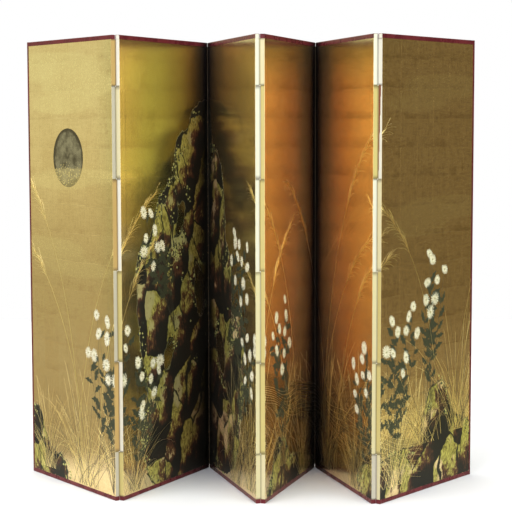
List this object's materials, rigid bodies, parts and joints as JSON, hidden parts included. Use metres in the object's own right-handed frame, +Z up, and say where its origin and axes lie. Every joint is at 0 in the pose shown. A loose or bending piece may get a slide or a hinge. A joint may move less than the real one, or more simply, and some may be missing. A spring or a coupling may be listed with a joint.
{
  "type": "folding screen",
  "caption": "Byobu folding screen of tall gold-leafed paper panels in a zigzag, joined by paper hinges, with dark lacquered rails.",
  "frame": {"origin": "on the floor, at the middle of the footprint that the zigzag screen stands on", "axes": "+Z up; the painted faces look towards -Y; +X along the screen, from the first panel to the last"},
  "size_m": [1.7582, 0.6234, 1.72],
  "materials": {
    "cedar": "planed, unfinished",
    "underlay_paper": "layered mulberry paper, matt",
    "gold_paper": "gold leaf in squares on paper, painted, soft sheen",
    "back_paper": "block-printed paper, matt",
    "edge_paper": "silvery paper, soft sheen",
    "hinge_paper": "gold leaf on tough paper, soft sheen",
    "lacquer": "dark maroon lacquer on wood, glossy",
    "iron": "forged, dark"
  },
  "bodies": {
    "panel_1": {"panel_1_lattice": "cedar", "panel_1_underlay": "underlay_paper", "panel_1_front_paper": "gold_paper", "panel_1_back_paper": "back_paper", "panel_1_edge_paper": "edge_paper", "panel_1_top_rail": "lacquer", "panel_1_bottom_rail": "lacquer", "panel_1_nails": "iron", "fold_1_straps_on_panel_1": "hinge_paper", "left_stile": "lacquer"},
    "panel_2": {"panel_2_lattice": "cedar", "panel_2_underlay": "underlay_paper", "panel_2_front_paper": "gold_paper", "panel_2_back_paper": "back_paper", "panel_2_edge_paper": "edge_paper", "panel_2_top_rail": "lacquer", "panel_2_bottom_rail": "lacquer", "panel_2_nails": "iron", "fold_1_straps_on_panel_2": "hinge_paper", "fold_2_straps_on_panel_2": "hinge_paper"},
    "panel_3": {"panel_3_lattice": "cedar", "panel_3_underlay": "underlay_paper", "panel_3_front_paper": "gold_paper", "panel_3_back_paper": "back_paper", "panel_3_edge_paper": "edge_paper", "panel_3_top_rail": "lacquer", "panel_3_bottom_rail": "lacquer", "panel_3_nails": "iron", "fold_2_straps_on_panel_3": "hinge_paper", "fold_3_straps_on_panel_3": "hinge_paper"},
    "panel_4": {"panel_4_lattice": "cedar", "panel_4_underlay": "underlay_paper", "panel_4_front_paper": "gold_paper", "panel_4_back_paper": "back_paper", "panel_4_edge_paper": "edge_paper", "panel_4_top_rail": "lacquer", "panel_4_bottom_rail": "lacquer", "panel_4_nails": "iron", "fold_3_straps_on_panel_4": "hinge_paper", "fold_4_straps_on_panel_4": "hinge_paper"},
    "panel_5": {"panel_5_lattice": "cedar", "panel_5_underlay": "underlay_paper", "panel_5_front_paper": "gold_paper", "panel_5_back_paper": "back_paper", "panel_5_edge_paper": "edge_paper", "panel_5_top_rail": "lacquer", "panel_5_bottom_rail": "lacquer", "panel_5_nails": "iron", "fold_4_straps_on_panel_5": "hinge_paper", "fold_5_straps_on_panel_5": "hinge_paper"},
    "panel_6": {"panel_6_lattice": "cedar", "panel_6_underlay": "underlay_paper", "panel_6_front_paper": "gold_paper", "panel_6_back_paper": "back_paper", "panel_6_edge_paper": "edge_paper", "panel_6_top_rail": "lacquer", "panel_6_bottom_rail": "lacquer", "panel_6_nails": "iron", "fold_5_straps_on_panel_6": "hinge_paper", "right_stile": "lacquer"}
  },
  "joints": [
    {"name": "fold_1", "type": "hinge", "parent": "panel_2", "child": "panel_1", "pos_m": [-0.48598, -0.24198, 0], "axis": [0, 0, 1], "range_deg": [-65.5, 114.5]},
    {"name": "fold_2", "type": "hinge", "parent": "panel_3", "child": "panel_2", "pos_m": [-0.16848, 0.30296, 0], "axis": [0, 0, -1], "range_deg": [-46, 134]},
    {"name": "fold_3", "type": "hinge", "parent": "panel_3", "child": "panel_4", "pos_m": [0.0392, -0.29255, 0], "axis": [0, 0, -1], "range_deg": [-36.5, 143.5]},
    {"name": "fold_4", "type": "hinge", "parent": "panel_4", "child": "panel_5", "pos_m": [0.26241, 0.29732, 0], "axis": [0, 0, 1], "range_deg": [-36, 144]},
    {"name": "fold_5", "type": "hinge", "parent": "panel_5", "child": "panel_6", "pos_m": [0.46489, -0.29998, 0], "axis": [0, 0, -1], "range_deg": [-56.5, 123.5]}
  ]
}
